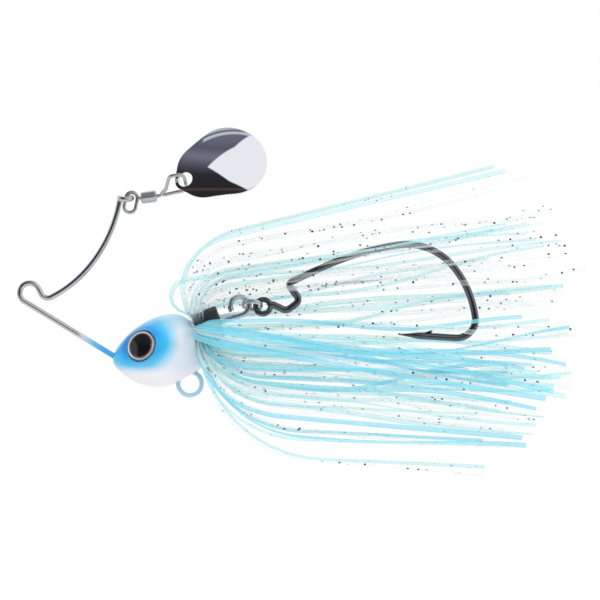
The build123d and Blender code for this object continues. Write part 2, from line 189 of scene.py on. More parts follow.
nickel = metal("nickel plated steel, barrel finished", "c6c6c8", 0.34, 0.07)
spring_steel = metal("nickel plated spring wire", "c9cacd", 0.18, 0.05)
mirror_plate = metal("polished brass, chrome plated", "e6e8ee", 0.03)
black_nickel = metal("black nickel plated hook wire", "6a6a70", 0.16, 0.04)
print("metals:", [m.name for m in (nickel, spring_steel, mirror_plate, black_nickel)])

# %% [markdown]
# The arm is drawn stainless wire, clean and bright. It is bare except for its last few millimetres
# by the head, where the paint of the head has run up the wire. Two shaders are mixed by three
# tests on Object coordinates: far enough along X, low enough to be on the lower arm, and before
# the middle of the head, because the same wire comes out bare behind the collar.

# %% Wire with a painted end
wire_steel, tree, output = new_material("drawn stainless wire, painted at the head")
place = node(tree, "ShaderNodeTexCoord")
axes = node(tree, "ShaderNodeSeparateXYZ", links={"Vector": place.outputs["Object"]})
bare = node(
    tree,
    "ShaderNodeBsdfPrincipled",
    links={"Base Color": colour("c6c6c9"), "Metallic": 1.0, "Roughness": 0.2},
)
# the paint thickens from a thin veil to full colour
paint_places = node(
    tree,
    "ShaderNodeMapRange",
    links={"Value": axes.outputs["X"], "From Min": 8.0 * MM, "From Max": 12.0 * MM},
)
paint_fade = node(tree, "ShaderNodeValToRGB", links={"Fac": paint_places.outputs["Result"]})
set_ramp(paint_fade, [(0.0, "c9cdd8"), (0.35, "a6c3dc"), (0.6, "5bb3de"), (1.0, "2f9fd8")])
paint = node(
    tree,
    "ShaderNodeBsdfPrincipled",
    links={"Base Color": paint_fade.outputs["Color"], "Roughness": 0.2, "Coat Weight": 0.5},
)
along = node(
    tree,
    "ShaderNodeMapRange",
    links={"Value": axes.outputs["X"], "From Min": 7.7 * MM, "From Max": 8.6 * MM},
)
low = node(
    tree,
    "ShaderNodeMapRange",
    links={"Value": axes.outputs["Z"], "From Min": -4.0 * MM, "From Max": -5.0 * MM},
)
on_lower_arm = node(
    tree,
    "ShaderNodeMath",
    {"operation": "MULTIPLY"},
    {0: along.outputs["Result"], 1: low.outputs["Result"]},
)
before_middle = node(
    tree,
    "ShaderNodeMath",
    {"operation": "LESS_THAN"},
    {0: axes.outputs["X"], 1: 20 * MM},
)
painted = node(
    tree,
    "ShaderNodeMath",
    {"operation": "MULTIPLY"},
    {0: on_lower_arm.outputs[0], 1: before_middle.outputs[0]},
)
mixed = node(
    tree,
    "ShaderNodeMixShader",
    links={0: painted.outputs[0], 1: bare.outputs["BSDF"], 2: paint.outputs["BSDF"]},
)
tree.links.new(mixed.outputs[0], output.inputs["Surface"])
print("painted from x = 8 mm to the head")

# %% [markdown]
# ## Paint on the head
# The lead is dipped white, then airbrushed: a strong blue that centres on the eye and the nose and
# fades to a pale lavender white at the back and to white on the belly. Along the top lies a painted
# rim light of light blue.
# The fade follows the distance from a spot in the eye, measured on Object coordinates in an
# ellipse, and a ramp holds the colours. A clear coat over it gives the wet look.

# %% Airbrushed paint
head_paint, tree, output = new_material("airbrushed enamel on lead, clear coated")
place = node(tree, "ShaderNodeTexCoord")
axes = node(tree, "ShaderNodeSeparateXYZ", links={"Vector": place.outputs["Object"]})


def spot_distance(centre_x, centre_z, reach_x, reach_z):
    """Distance from a spot on the side of the head, where 1 is the edge of an ellipse."""
    parts = []
    for axis, centre, reach in (("X", centre_x, reach_x), ("Z", centre_z, reach_z)):
        offset = node(
            tree,
            "ShaderNodeMath",
            {"operation": "SUBTRACT"},
            {0: axes.outputs[axis], 1: centre * MM},
        )
        parts.append(
            node(
                tree,
                "ShaderNodeMath",
                {"operation": "DIVIDE"},
                {0: offset.outputs[0], 1: reach * MM},
            )
        )
    joined = node(
        tree,
        "ShaderNodeCombineXYZ",
        links={"X": parts[0].outputs[0], "Y": parts[1].outputs[0]},
    )
    length = node(
        tree, "ShaderNodeVectorMath", {"operation": "LENGTH"}, {0: joined.outputs[0]}
    )
    return length.outputs["Value"]


blue_spot = node(
    tree,
    "ShaderNodeValToRGB",
    links={"Fac": spot_distance(centre_x=17.4, centre_z=-7.7, reach_x=7.3, reach_z=5.9)},
)
set_ramp(
    blue_spot,
    [
        (0.0, "0878cc"),
        (0.38, "0a92de"),
        (0.56, "12a8e8"),
        (0.7, "40bfec"),
        (0.82, "93d2ee"),
        (0.92, "c3dceb"),
        (1.0, "dde4ee"),
    ],
)
# painted rim light: the top of the head is lightened towards light blue, as if light fell along it
painted_rim_light = node(
    tree,
    "ShaderNodeMapRange",
    {"interpolation_type": "SMOOTHSTEP"},
    {"Value": axes.outputs["Z"], "From Min": -6.6 * MM, "From Max": -3.6 * MM, "To Max": 0.65},
)
with_painted_rim_light = node(
    tree,
    "ShaderNodeMix",
    {"data_type": "RGBA"},
    {0: painted_rim_light.outputs["Result"], 6: blue_spot.outputs["Color"], 7: colour("8cc8e6")},
)
belly = node(
    tree,
    "ShaderNodeMapRange",
    {"interpolation_type": "SMOOTHSTEP"},
    {"Value": axes.outputs["Z"], "From Min": -11.4 * MM, "From Max": -13.4 * MM},
)
head_colour = node(
    tree,
    "ShaderNodeMix",
    {"data_type": "RGBA"},
    {0: belly.outputs["Result"], 6: with_painted_rim_light.outputs[2], 7: colour("efedf2")},
)
surface(
    tree,
    output,
    Base_Color=head_colour.outputs[2],
    Roughness=0.28,
    Coat_Weight=0.8,
    Coat_Roughness=0.06,
)

# the belly ring gets only the thin edge of the blue
ring_paint, tree, output = new_material("pale blue enamel on wire")
surface(tree, output, Base_Color=colour("a9cfe2"), Roughness=0.2, Coat_Weight=0.5)
print("paints:", head_paint.name, "and", ring_paint.name)

# %% [markdown]
# ## Eye
# A lure eye is a printed foil disc under a drop of clear resin: a black outer line, a bright silver
# ring, a thin bronze iris and a large black pupil. The resin wets the print, so the print has no
# gloss of its own, and only the silver ring is metallic. The foil's own UV map holds the distance
# from its centre, so the rings follow the disc wherever it leans. The resin is clear and smooth.

# %% Eye materials
eye_print, tree, output = new_material("printed foil, silver and bronze on black")
uv = node(tree, "ShaderNodeUVMap", {"uv_map": "radius"})
uv_axes = node(tree, "ShaderNodeSeparateXYZ", links={"Vector": uv.outputs["UV"]})
place = node(tree, "ShaderNodeTexCoord")
mottle = node(
    tree,
    "ShaderNodeTexNoise",
    links={"Vector": place.outputs["Object"], "Scale": 1 / (0.5 * MM), "Detail": 3.0},
)
wander = node(
    tree,
    "ShaderNodeMath",
    {"operation": "MULTIPLY_ADD"},
    {0: mottle.outputs["Fac"], 1: 0.05, 2: uv_axes.outputs["X"]},
)
rings = node(tree, "ShaderNodeValToRGB", links={"Fac": wander.outputs[0]})
set_ramp(
    rings,
    [
        (0.0, "14171d"),
        (0.66, "181a20"),
        (0.72, "3c2b2a"),
        (0.79, "7a625c"),
        (0.83, "b6aaa8"),
        (0.88, "eef0f2"),
        (0.93, "b9bcc6"),
        (0.97, "2c2f38"),
    ],
)
shine = node(tree, "ShaderNodeValToRGB", links={"Fac": wander.outputs[0]})
set_ramp(
    shine,
    [
        (0.0, "000000"),
        (0.8, "000000"),
        (0.86, "888888"),
        (0.93, "888888"),
        (0.97, "000000"),
    ],
)
surface(
    tree,
    output,
    Base_Color=rings.outputs["Color"],
    Metallic=shine.outputs["Color"],
    Roughness=0.3,
    Specular_IOR_Level=0.0,
)
resin, tree, output = new_material("clear epoxy resin, domed")
surface(
    tree,
    output,
    Base_Color=colour("ffffff"),
    Transmission_Weight=1.0,
    Roughness=0.02,
    IOR=1.5,
)

# the collar is moulded in a plain steel tool, which leaves it matt
rubber, tree, output = new_material("black moulded rubber")
surface(tree, output, Base_Color=colour("1d262b"), Roughness=0.55)
print("eye:", eye_print.name, "under", resin.name)

# %% [markdown]
# ## Silicone for the skirt
# The strands are slit from thin silicone sheet, which lets most light straight through, so a strand
# takes its colour from what is behind it and two crossed strands look deeper than one. A film like
# that is a soft coloured surface with a low alpha. Towards the cut edges the film is made denser,
# which is painted edge shading for the light that the edges bend, and the stretched roots at the
# collar are denser too. The mesh holds how dense each point is, its painted edge shading included.
# Fine flakes, 0.2 to 0.4 mm across, are cast into the sheet. They come from a Voronoi pattern in
# Object coordinates: near the centre of a cell is a flake.

# %% Silicone
FLAKE_SPACING_MM = 1.4


def silicone(name, hex_value, film, edge_shade_film, flake_reach):
    """Silicone sheet. film says how much its faces hide and edge_shade_film how much its cut edges
    hide, which is painted edge shading. flake_reach is a flake's radius as a share of the spacing."""
    material, tree, output = new_material(name)
    place = node(tree, "ShaderNodeTexCoord")
    cells = node(
        tree,
        "ShaderNodeTexVoronoi",
        links={"Vector": place.outputs["Object"], "Scale": 1 / (FLAKE_SPACING_MM * MM)},
    )
    is_flake = node(
        tree,
        "ShaderNodeMath",
        {"operation": "LESS_THAN"},
        {0: cells.outputs["Distance"], 1: flake_reach},
    )
    tint = node(
        tree,
        "ShaderNodeMix",
        {"data_type": "RGBA"},
        {0: is_flake.outputs[0], 6: colour(hex_value), 7: colour("1d3350")},
    )
    # how dense the film is, with painted edge shading along the cut edges
    density_and_edge_shade = node(tree, "ShaderNodeAttribute", {"attribute_name": "density_and_edge_shade"})
    hiding = node(
        tree,
        "ShaderNodeMapRange",
        links={"Value": density_and_edge_shade.outputs["Fac"], "To Min": film, "To Max": edge_shade_film},
    )
    alpha = node(
        tree,
        "ShaderNodeMath",
        {"operation": "MAXIMUM"},
        {0: hiding.outputs["Result"], 1: is_flake.outputs[0]},
    )
    surface(
        tree,
        output,
        Base_Color=tint.outputs[2],
        Alpha=alpha.outputs[0],
        Roughness=0.3,
        IOR=1.41,
    )
    print(name, "with flakes", round(2 * flake_reach * FLAKE_SPACING_MM, 2), "mm across")
    return material


cyan_silicone = silicone("pale cyan silicone sheet", "bdf3f6", 0.25, 0.44, 0.09)
clear_silicone = silicone("clear silicone sheet with flake", "f4faf9", 0.12, 0.32, 0.14)
thin_silicone = silicone("thin clear silicone sheet with flake", "f4faf9", 0.06, 0.2, 0.14)
blue_silicone = silicone("bright blue silicone sheet", "90e6f8", 0.38, 0.6, 0.07)
SILICONES = [cyan_silicone, clear_silicone, blue_silicone, thin_silicone]
# the places of the silicones in that list
CYAN, CLEAR, BLUE, THIN = range(4)

# %% [markdown]
# ## Bare metal parts
# The wire, the belly ring, the swivel, the split ring and the hook come straight from the CAD. They
# only need smooth shading and a finish. The frame marks their sharp edges already, so a flat end
# still meets a round side in a crisp line.

# %% Finish the parts kept from the frame
KEPT = {
    "main_wire": wire_steel,
    "belly_eye": ring_paint,
    "swivel_barrel": nickel,
    "swivel_front_eye": nickel,
    "swivel_rear_eye": nickel,
    "split_ring": spring_steel,
    "hook": black_nickel,
}
for name, material in KEPT.items():
    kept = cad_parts[name]
    kept.data.materials.clear()
    kept.data.materials.append(material)
    kept.data.shade_smooth()
    print(name, len(kept.data.polygons), "faces")

# %% [markdown]
# ## Head
# The head is a smooth fish shape, so a sphere of fine quads is the best start: each ring of the
# sphere becomes an ellipse across the head's axis, and the table says how high, how tall and how
# wide the ellipse is at each distance behind the nose. A smooth curve runs through the table.
# Round each eye the skin sinks a little, so that the eye sits in a shallow dish.

# %% Head shape
HEAD_NOSE = Vector((13.45, 0, -11.0))
HEAD_AXIS = heading(10)
HEAD_UP = heading(100)
# distance behind the nose, height of the middle, half height, half width
HEAD_STATIONS = [
    (0.06, 0.06, 0.0, 0.0),
    (0.15, 0.05, 0.72, 0.6),
    (1.1, 0.0, 2.05, 1.7),
    (3.2, -0.1, 3.93, 2.98),
    (6.0, -0.05, 5.28, 3.98),
    (9.0, 0.3, 5.63, 4.28),
    (11.6, 0.6, 5.03, 3.93),
    (13.2, 0.25, 4.18, 3.23),
    (13.88, 0.1, 3.38, 2.58),
    (13.9, 0.1, 1.6, 1.3),
    (13.9, 0.1, 0.0, 0.0),
]
EYE_SPOT = (18.4, 3.25, -8.5)
EYE_FACING = (-0.43, 0.846, 0.315)
# the dish is level out to one distance from the eye's middle and ends at another
DISH_LEVEL_TO = 2.75
DISH_RADIUS = 3.5
DISH_DEPTH = 0.12


def through_table(table, share):
    """A smooth curve through the rows of a table, at a share from 0 to 1 of its length."""
    place = share * (len(table) - 1)
    first = min(int(place), len(table) - 2)
    t = place - first
    rows = [table[min(max(first + k, 0), len(table) - 1)] for k in (-1, 0, 1, 2)]
    result = []
    for a, b, c, d in zip(*rows):
        start, end = (c - a) / 2, (d - b) / 2
        result.append(
            b + start * t + (3 * (c - b) - 2 * start - end) * t**2 + (2 * (b - c) + start + end) * t**3
        )
    return result


def eye_frame(side):
    """The middle of the eye's floor, the direction it faces and a direction along it."""
    origin = Vector((EYE_SPOT[0], side * EYE_SPOT[1], EYE_SPOT[2]))
    facing = Vector((EYE_FACING[0], side * EYE_FACING[1], EYE_FACING[2])).normalized()
    upward = heading(55)
    return origin, facing, (upward - facing * upward.dot(facing)).normalized()


bm = bmesh.new()
bmesh.ops.create_uvsphere(bm, u_segments=112, v_segments=88, radius=1)
for vert in bm.verts:
    share = math.acos(min(max(vert.co.z, -1), 1)) / math.pi
    turn = math.atan2(vert.co.y, vert.co.x)
    distance, rise, half_height, half_width = through_table(HEAD_STATIONS, share)
    vert.co = (
        HEAD_NOSE
        + HEAD_AXIS * distance
        + HEAD_UP * (rise + half_height * math.cos(turn))
        + Vector((0, half_width * math.sin(turn), 0))
    )
for side in (-1, 1):
    origin, facing, _ = eye_frame(side)
    for vert in bm.verts:
        offset = vert.co - origin
        height = offset.dot(facing)
        reach = (offset - facing * height).length
        if vert.co.y * side > 0 and reach < DISH_RADIUS:
            sunk = 1 - smoothstep(DISH_LEVEL_TO, DISH_RADIUS, reach)
            vert.co += facing * (-DISH_DEPTH - height) * sunk
write_piece(bm, "painted_head", "lure", [head_paint], ["head"], sharp_above=60)

# %% [markdown]
# The skirt's collar slides over a short neck at the back of the head. The neck is a plain round
# stub, so it is spun from its side view.

# %% Neck
NECK_AXIS = heading(18)
NECK_UP = heading(108)
NECK_POINT = Vector((26.9, 0, -5.93))
TURNING_STEPS = 64
# distance along the neck's axis, radius
NECK_PROFILE = [(-2.0, 0), (-2.0, 1.69), (3.8, 1.69), (3.9, 1.6), (3.9, 0)]


def spin_profile(bm, profile, origin, axis, radial):
    """Spin a side view, given as (distance along the axis, radius), round the axis."""
    verts = [bm.verts.new(origin + axis * along + radial * radius) for along, radius in profile]
    edges = [bm.edges.new(pair) for pair in zip(verts, verts[1:])]
    bmesh.ops.spin(
        bm,
        geom=verts + edges,
        cent=origin,
        axis=axis,
        angle=2 * math.pi,
        steps=TURNING_STEPS,
        use_merge=True,
    )
    bmesh.ops.remove_doubles(bm, verts=bm.verts[:], dist=1e-4)


bm = bmesh.new()
spin_profile(bm, NECK_PROFILE, NECK_POINT, NECK_AXIS, NECK_UP)
write_piece(bm, "head_neck", "lure", [head_paint])

# %% [markdown]
# ## Eyes
# Each eye is two round pieces, so both are spun: the flat foil and the resin drop, whose top is
# part of a ball. The paint stands up in a soft ring round them, and a third spun piece is that rim.

# %% Eye pieces
EYE_RADIUS = 2.5
FOIL_RADIUS = EYE_RADIUS - 0.02
FOIL_THICKNESS = 0.15
DOME_HEIGHT = 1.0
DOME_EDGE = 0.3
DOME_STEPS = 10
# the resin reaches a hair into the foil, so that no air shows between them
DOME_FLOOR = FOIL_THICKNESS - 0.04
# the profiles hold the height above the eye's floor and the radius
FOIL_PROFILE = [
    (0, 0),
    (0, FOIL_RADIUS),
    (FOIL_THICKNESS, FOIL_RADIUS),
    *((FOIL_THICKNESS, EYE_RADIUS * share) for share in (0.9, 0.8, 0.6, 0.3)),
    (FOIL_THICKNESS, 0),
]
RIM_PROFILE = [
    (-0.5, 2.52),
    (0.0, 2.54),
    (0.14, 2.6),
    (0.2, 2.72),
    (0.14, 2.86),
    (-0.05, 3.0),
    (-0.5, 3.1),
]


def dome_profile():
    """The resin drop: an arc of a ball from its top to its edge, then its flat underside."""
    rise = DOME_HEIGHT - DOME_EDGE
    ball = (EYE_RADIUS**2 + rise**2) / (2 * rise)
    widest = math.asin(EYE_RADIUS / ball)
    arc = []
    for step in range(DOME_STEPS + 1):
        angle = widest * step / DOME_STEPS
        height = FOIL_THICKNESS + DOME_HEIGHT - ball * (1 - math.cos(angle))
        arc.append((height, ball * math.sin(angle)))
    return arc + [(DOME_FLOOR, EYE_RADIUS), (DOME_FLOOR, 0)]


for side, side_name in ((-1, "near"), (1, "far")):
    origin, facing, upward = eye_frame(side)
    bm = bmesh.new()
    spin_profile(bm, FOIL_PROFILE, origin, facing, upward)
    radius_map = bm.loops.layers.uv.new("radius")
    for face in bm.faces:
        for loop in face.loops:
            offset = loop.vert.co - origin
            distance = (offset - facing * offset.dot(facing)).length
            loop[radius_map].uv = (distance / EYE_RADIUS, 0)
    foil_node = f"{side_name}_eye_foil"
    write_piece(bm, f"{side_name}_eye_print", "lure", [eye_print], [foil_node])

    bm = bmesh.new()
    spin_profile(bm, dome_profile(), origin, facing, upward)
    dome_node = f"{side_name}_eye_dome"
    write_piece(bm, f"{side_name}_eye_resin", "lure", [resin], [dome_node])

    bm = bmesh.new()
    spin_profile(bm, RIM_PROFILE, origin, facing, upward)
    write_piece(bm, f"{side_name}_eye_rim", "lure", [head_paint])

# %% [markdown]
# ## Collar
# The collar is a moulded rubber sleeve. The strands grow from its narrow front part, and its back
# end is wider. Its edges are eased, which a spun side view gives at once.

# %% Collar
# distance along the neck's axis, radius; the last row closes the side view
COLLAR_PROFILE = [
    (0.02, 1.72),
    (0.02, 2.35),
    (0.12, 2.48),
    (1.75, 2.48),
    (1.92, 2.62),
    (2.1, 2.74),
    (3.9, 2.74),
    (4.05, 2.66),
    (4.09, 2.5),
    (4.09, 1.72),
    (0.02, 1.72),
]
bm = bmesh.new()
spin_profile(bm, COLLAR_PROFILE, NECK_POINT, NECK_AXIS, NECK_UP)
write_piece(bm, "rubber_collar", "lure", [rubber], ["skirt_collar"])

# %% [markdown]
# ## Blade
# The blade is a stamped teardrop, cupped like part of a ball, with a hole near its narrow end. A
# chain of points from the hole to the rim is spun round the hole, which gives clean rings for a
# mirror. Each ring is then drawn out to the teardrop and laid on the ball.

# %% Outline of the blade
HOLE_RADIUS = 1.12
CUP_RADIUS = 15.0
SHEET = 0.5
# distance from the hole to the lowest point of the cup
BLADE_MIDDLE = 6.0
# the outline wraps three circles: distance from the hole, radius
BLADE_CIRCLES = [(0, 1.65), (3.6, 4.65), (7.95, 5.95)]
BLADE_RINGS = 40
BLADE_STEPS = 180
# how far the rim stays inside the solid's rim, and its faces stay inside the solid too
BLADE_INSET = 0.01


def circle_reach(centre, radius, turn):
    """How far a ray from the origin at an angle runs before it leaves a circle."""
    across = centre * math.sin(turn)
    if abs(across) >= radius:
        return 0
    return centre * math.cos(turn) + math.sqrt(radius**2 - across**2)


def tangent_reach(first, second, turn):
    """How far the ray runs before it meets the line that touches two circles, or 0."""
    (c1, r1), (c2, r2) = first, second
    slope = (r2 - r1) / (c2 - c1)
    normal = Vector((-slope, math.sqrt(1 - slope**2)))
    level = c1 * normal.x + r1
    ray = Vector((math.cos(turn), abs(math.sin(turn))))
    facing_line = ray.dot(normal)
    if facing_line <= 0:
        return 0
    reach = level / facing_line
    along_line = ray.x * reach
    low_end = c1 + r1 * normal.x
    high_end = c2 + r2 * normal.x
    return reach if low_end <= along_line <= high_end else 0


def outline_reach(turn):
    """Distance from the hole's middle to the blade's rim at an angle."""
    reaches = [circle_reach(centre, radius, turn) for centre, radius in BLADE_CIRCLES]
    reaches += [tangent_reach(a, b, turn) for a, b in zip(BLADE_CIRCLES, BLADE_CIRCLES[1:])]
    return max(reaches)


# %% Sheet of the blade
bm = bmesh.new()
end = bm.verts.new((1, 0, 0))
for ring in range(BLADE_RINGS):
    end = bmesh.ops.extrude_vert_indiv(bm, verts=[end])["verts"][0]
    end.co.x += 1
bmesh.ops.spin(
    bm,
    geom=bm.verts[:] + bm.edges[:],
    cent=(0, 0, 0),
    axis=(0, 0, 1),
    angle=2 * math.pi,
    steps=BLADE_STEPS,
    use_merge=True,
)
outer_sheet = CUP_RADIUS + SHEET
# how high the hole lies above the middle of the ball
hole_height = math.sqrt((CUP_RADIUS + SHEET / 2) ** 2 - BLADE_MIDDLE**2)
for vert in bm.verts:
    share = (math.hypot(vert.co.x, vert.co.y) - 1) / BLADE_RINGS
    turn = math.atan2(vert.co.y, vert.co.x)
    reach = HOLE_RADIUS + (outline_reach(turn) - BLADE_INSET - HOLE_RADIUS) * share
    x, y = reach * math.cos(turn), reach * math.sin(turn)
    z = math.sqrt(outer_sheet**2 - (x - BLADE_MIDDLE) ** 2 - y**2) - hole_height
    vert.co = (x, y, z - BLADE_INSET / 2)
bmesh.ops.recalc_face_normals(bm, faces=bm.faces[:])
bmesh.ops.solidify(bm, geom=bm.faces[:], thickness=SHEET - 2 * BLADE_INSET)
heights = [vert.co.z for vert in bm.verts]
print("blade cup from", round(min(heights), 2), "to", round(max(heights), 2), "mm")

# %% Rim and place of the blade
RIM_BEVEL = 0.1
# in degrees: the blade's climb in the plane of the wire, its lean out of it and its flap at rest
BLADE_CLIMB, BLADE_LEAN, BLADE_FLAP = 26, 15, 9
BLADE_HOLE = Vector((25.2076, -2.1693, 18.0753))

rim_edges = [edge for edge in bm.edges if edge.is_manifold and edge.calc_face_angle() > 1.0]
bmesh.ops.bevel(
    bm,
    geom=rim_edges,
    offset=RIM_BEVEL,
    offset_type="OFFSET",
    segments=2,
    profile=0.5,
    affect="EDGES",
    material=-1,
)
lean = math.radians(BLADE_LEAN)
along_flat = heading(BLADE_CLIMB)
facing_flat = Vector((0, -math.cos(lean), 0)) + heading(BLADE_CLIMB + 90) * math.sin(lean)
flap = Matrix.Rotation(math.radians(BLADE_FLAP), 3, facing_flat.cross(along_flat))
along, facing = flap @ along_flat, flap @ facing_flat
place_verts(bm.verts, along, facing.cross(along), facing, BLADE_HOLE)
write_piece(bm, "cupped_blade", "blade", [mirror_plate], ["blade"], sharp_above=30)

# %% [markdown]
# ## Skirt
# The skirt is a fringe of silicone strands in five layers, one outside another, and in five rows on
# the near side and six on the far side. A strand leaves the collar, bends once in a wide arc and
# runs out to its tip. Each one starts as an eight sided prism along Z, cut into short lengths. Those
# lengths are then laid along the strand's path, with a small sway and twist of its own, so that no
# two strands are alike. A bevelled curve would be quicker, but it couldn't carry where the silicone
# is dense and where its edges get painted shading. Beside most strands a thinner one fills the gap
# to its neighbour.
# The thinner strands are only in this script, and so are two groups: the blue band that crosses
# the side of the collar, and two strands that spring forward over the head before they turn back.

# %% Path of a strand
# the angle of each row from the top of the collar, on the near side (-1) and the far side (1)
ROWS = {-1: [33, 57, 134, 160, 92], 1: [31, 57, 80, 106, 134, 162]}
# how far along the neck each layer leaves the collar
LAYER_STATIONS = [0.1, 0.46, 0.83, 1.22, 1.62, 0.15]
# for each layer: the angle at which it leaves, the radius of its bend on top, at the side and below,
# the height of its tip, how far aside the tip is on top and how much further at the side
LAYER_SHAPES = [
    (104, 10.6, 8.0, 21.0, 27.3, 2.5, 10.0),
    (99, 9.2, 6.9, 16.6, 23.8, 3.1, 8.4),
    (93, 7.7, 5.8, 12.8, 20.0, 3.7, 6.9),
    (86, 6.1, 4.8, 9.6, 16.3, 4.3, 5.5),
    (78, 4.8, 3.8, 6.8, 12.9, 4.9, 4.2),
    # the strands that spring forward
    (138, 2.7, 2.7, 2.7, 17.0, 3.0, 3.0),
]
ROOT_RADIUS = 2.3
# the straight stub before the bend, and what each layer further in adds to it
STUB, STUB_ADDED = 1.0, 0.25
FAN_MIDDLE = -3.1
FAN_LENGTH = 89.85
# the fan's end is round: what a tip loses for the square of its height and of its place aside
ROUND_UP, ROUND_ASIDE = 0.024, 0.02
# what a wave between -1 and 1 does to a tip's height, its place aside, its reach and the bend
WAVE_UP, WAVE_ASIDE, WAVE_REACH, WAVE_BEND = 0.03, 0.4, 1.3, 0.06


def strand_path(azimuth, side, layer, wave, stray, shorter=0.0):
    """A function from a share of the length to a point, and the direction across the strand.
    stray moves the tip up and shorter draws it back, both in millimetres."""
    leaving, top, beside, bottom, tip_height, least_side, added_side = LAYER_SHAPES[layer]
    height, sideways = math.cos(math.radians(azimuth)), math.sin(math.radians(azimuth))
    radial = NECK_UP * height + Vector((0, side * sideways, 0))
    leave = NECK_AXIS * math.cos(math.radians(leaving)) + radial * math.sin(math.radians(leaving))
    root = NECK_POINT + NECK_AXIS * LAYER_STATIONS[layer] + radial * ROOT_RADIUS
    stub = STUB + STUB_ADDED * layer
    start = root + leave * stub
    z = tip_height * (height + WAVE_UP * wave) + stray
    y = least_side + added_side * sideways + WAVE_ASIDE * wave
    x = FAN_LENGTH - ROUND_UP * z**2 - ROUND_ASIDE * y**2 + WAVE_REACH * wave - shorter
    tip = Vector((x, side * y, FAN_MIDDLE + z))
    upright = top if height > 0 else bottom
    radius = (beside + (upright - beside) * height**2) * (1 + WAVE_BEND * wave)
    # the line from the bend's end to the tip touches the circle of the bend
    reach = tip - start
    along = reach.dot(leave)
    towards = (reach - leave * along).normalized()
    off = reach.dot(towards) - radius
    straight = math.sqrt(along**2 + off**2 - radius**2)
    turn = math.atan2(off, along) + math.atan2(radius, straight)
    final = leave * math.cos(turn) + towards * math.sin(turn)
    centre = start + towards * radius
    bend_end = centre - towards * radius * math.cos(turn) + leave * radius * math.sin(turn)
    bend_length = radius * turn
    length = stub + bend_length + straight

    def point(share):
        run = share * length
        if run < stub:
            return root + leave * run
        if run < stub + bend_length:
            t = (run - stub) / radius
            return centre - towards * radius * math.cos(t) + leave * radius * math.sin(t)
        return bend_end + final * (run - stub - bend_length)

    return point, leave.cross(towards).normalized()


# %% Shape of a strand
STRAND_CUTS = 46
STRAND_THICKNESS = 0.3
# how many times a strand sways along its length, to its sides and off its face
SIDE_SWAYS, FACE_SWAYS = 1.15, 0.85
MOST_TWIST = 1.1
# from where to where along its length a strand comes loose
LOOSE_FROM, LOOSE_TO = 0.1, 0.7
# where across its width the painted edge shading begins, how far its stretched root reaches, and how
# dense that is
EDGE_SHADE_FROM, ROOT_SHARE, ROOT_DENSITY = 0.7, 0.14, 0.2


def add_strand(bm, path, across, width, phase, sway, bow, tint):
    """Lay one prism along a path. It sways by sway to both sides where it is loose, and bow lifts
    its middle, both in millimetres. tint is the place of its silicone."""
    strand = bmesh.new()
    density_and_edge_shade = strand.verts.layers.float.new("density_and_edge_shade")
    bmesh.ops.create_cone(
        strand, cap_ends=True, cap_tris=False, segments=8, radius1=0.5, radius2=0.5, depth=1
    )
    long_edges = [e for e in strand.edges if abs(e.verts[0].co.z - e.verts[1].co.z) > 0.5]
    bmesh.ops.subdivide_edges(strand, edges=long_edges, cuts=STRAND_CUTS)
    for face in strand.faces:
        face.material_index = tint
    for vert in strand.verts:
        share = vert.co.z + 0.5
        here = path(share)
        ahead = path(min(share + 0.01, 1.0)) - path(max(share - 0.01, 0.0))
        flat_normal = ahead.normalized().cross(across).normalized()
        loose = smoothstep(LOOSE_FROM, LOOSE_TO, share)
        side_sway = math.sin(2 * math.pi * share * SIDE_SWAYS + phase) * sway * loose
        face_sway = math.sin(2 * math.pi * share * FACE_SWAYS + 1.7 * phase) * sway * loose
        twist = min(2 * sway, MOST_TWIST) * math.sin(phase + 3 * share) * loose
        wide = across * math.cos(twist) + flat_normal * math.sin(twist)
        thin = flat_normal * math.cos(twist) - across * math.sin(twist)
        # the eight sides are squared up to a flat strip with eased corners
        x = max(min(vert.co.x * 1.25, 0.5), -0.5) * width
        y = max(min(vert.co.y * 1.25, 0.5), -0.5) * STRAND_THICKNESS
        # painted edge shading: the film grows denser towards the cut edges, for the light the edges
        # bend
        painted_edge_shade = smoothstep(EDGE_SHADE_FROM, 1.0, abs(x) * 2 / width)
        at_root = 1 - smoothstep(0.0, ROOT_SHARE, share)
        vert[density_and_edge_shade] = max(painted_edge_shade, ROOT_DENSITY * at_root)
        lift = Vector((0, 0, bow * math.sin(math.pi * share) ** 2))
        vert.co = here + lift + across * side_sway + flat_normal * face_sway + wide * x + thin * y
    made = bpy.data.meshes.new("strand")
    strand.to_mesh(made)
    strand.free()
    bm.from_mesh(made)
    bpy.data.meshes.remove(made)


# %% [markdown]
# The sheet is cut in tabs before it is wrapped, so the strands come in eight pieces. The near side
# stays open in front of the hook: there the strands are cut from the thin sheet, and none is added
# beside them. Sines of the row and layer numbers stand in for chance, so each run gives the same
# skirt.

# %% Rows and colours
# tab, side, rows and layers
TABS = [
    ("near_upper_outer", -1, (0, 1), (0, 1)),
    ("near_upper_inner", -1, (0, 1), (2, 3, 4)),
    ("near_lower_outer", -1, (2, 3, 4), (0, 1)),
    ("near_lower_inner", -1, (2, 3, 4), (2, 3, 4)),
    ("far_upper_outer", 1, (0, 1, 2), (0, 1)),
    ("far_upper_inner", 1, (0, 1, 2), (2, 3, 4)),
    ("far_lower_outer", 1, (3, 4, 5), (0, 1)),
    ("far_lower_inner", 1, (3, 4, 5), (2, 3, 4)),
]
# the angle of the strand that is added beside each row
BESIDE = {-1: [45, 57, 122, 147, 84], 1: [44, 68, 93, 119, 124, 148]}
STRAND_WIDTH, BESIDE_WIDTH, LOOP_WIDTH = 0.85, 0.62, 0.7
